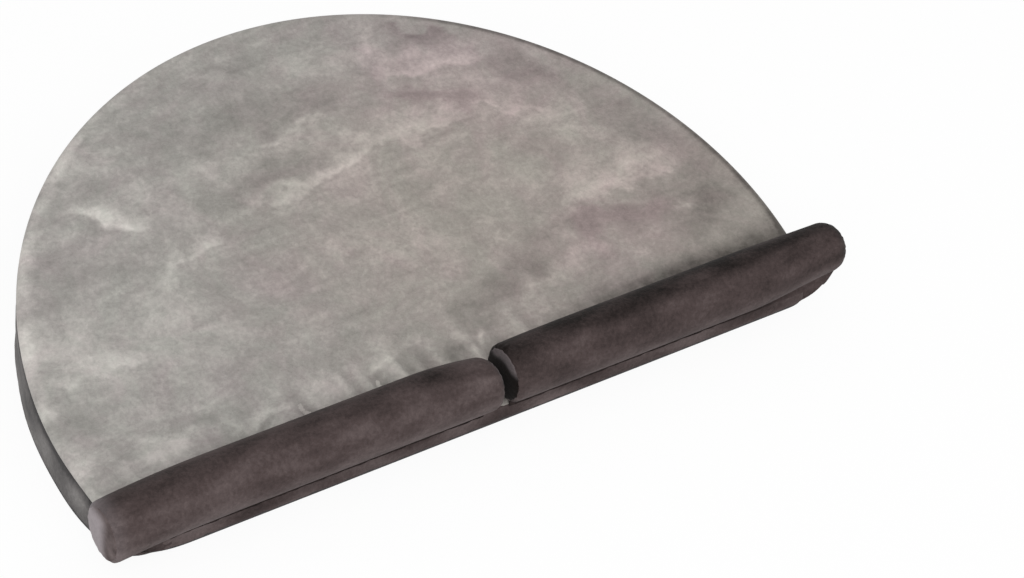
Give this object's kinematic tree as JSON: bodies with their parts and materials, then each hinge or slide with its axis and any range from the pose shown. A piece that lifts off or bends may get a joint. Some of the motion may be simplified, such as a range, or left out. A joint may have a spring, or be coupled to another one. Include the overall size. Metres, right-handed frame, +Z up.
{
  "type": "lap desk",
  "caption": "Half-moon wedge cushion for a laptop or tablet on the lap, with bolster rolls along the straight front, a cable slot between them and a zip round the back.",
  "frame": {"origin": "on the underside, at the centre of the round outline", "axes": "+X along the rolls to the right, +Y to the round back, +Z up"},
  "size_m": [0.406, 0.2547, 0.0627],
  "materials": {
    "pale_velvet": "short pale taupe velvet pile, brushed",
    "dark_velvet": "short dark brown velvet pile",
    "grey_wall": "mid grey velvet pile with a soft sheen",
    "underside_cloth": "plain dark grey woven cloth",
    "foam": "open-cell foam",
    "zip_cloth": "woven tape",
    "zip_plastic": "moulded, satin",
    "zip_metal": "dull gunmetal"
  },
  "bodies": {
    "cushion": {"foam_wedge": "foam", "left_roll_foam": "foam", "right_roll_foam": "foam", "top_panel": "pale_velvet", "bottom_panel": "underside_cloth", "front_strip": "dark_velvet", "left_side_band": "grey_wall", "right_side_band": "grey_wall", "back_upper_band": "grey_wall", "back_lower_band": "grey_wall", "left_roll_cover": "dark_velvet", "right_roll_cover": "dark_velvet", "left_roll_outer_cap": "dark_velvet", "left_roll_inner_cap": "dark_velvet", "right_roll_inner_cap": "dark_velvet", "right_roll_outer_cap": "dark_velvet", "zip_upper_tape": "zip_cloth", "zip_lower_tape": "zip_cloth", "zip_upper_teeth": "zip_plastic", "zip_lower_teeth": "zip_plastic", "zip_top_stop_upper": "zip_metal", "zip_top_stop_lower": "zip_metal", "zip_bottom_stop": "zip_metal"},
    "slider": {"zip_slider": "zip_metal"},
    "pull": {"zip_pull": "zip_metal"}
  },
  "joints": [
    {"name": "zip_slider_run", "type": "hinge", "parent": "cushion", "child": "slider", "pos_m": [0, 0, 0.027], "axis": [0, 0, 1], "range_deg": [0, 72]},
    {"name": "zip_pull_flip", "type": "hinge", "parent": "slider", "child": "pull", "pos_m": [0.11576, 0.15934, 0.027], "axis": [0, 0, 1], "range_deg": [0, 170]}
  ]
}
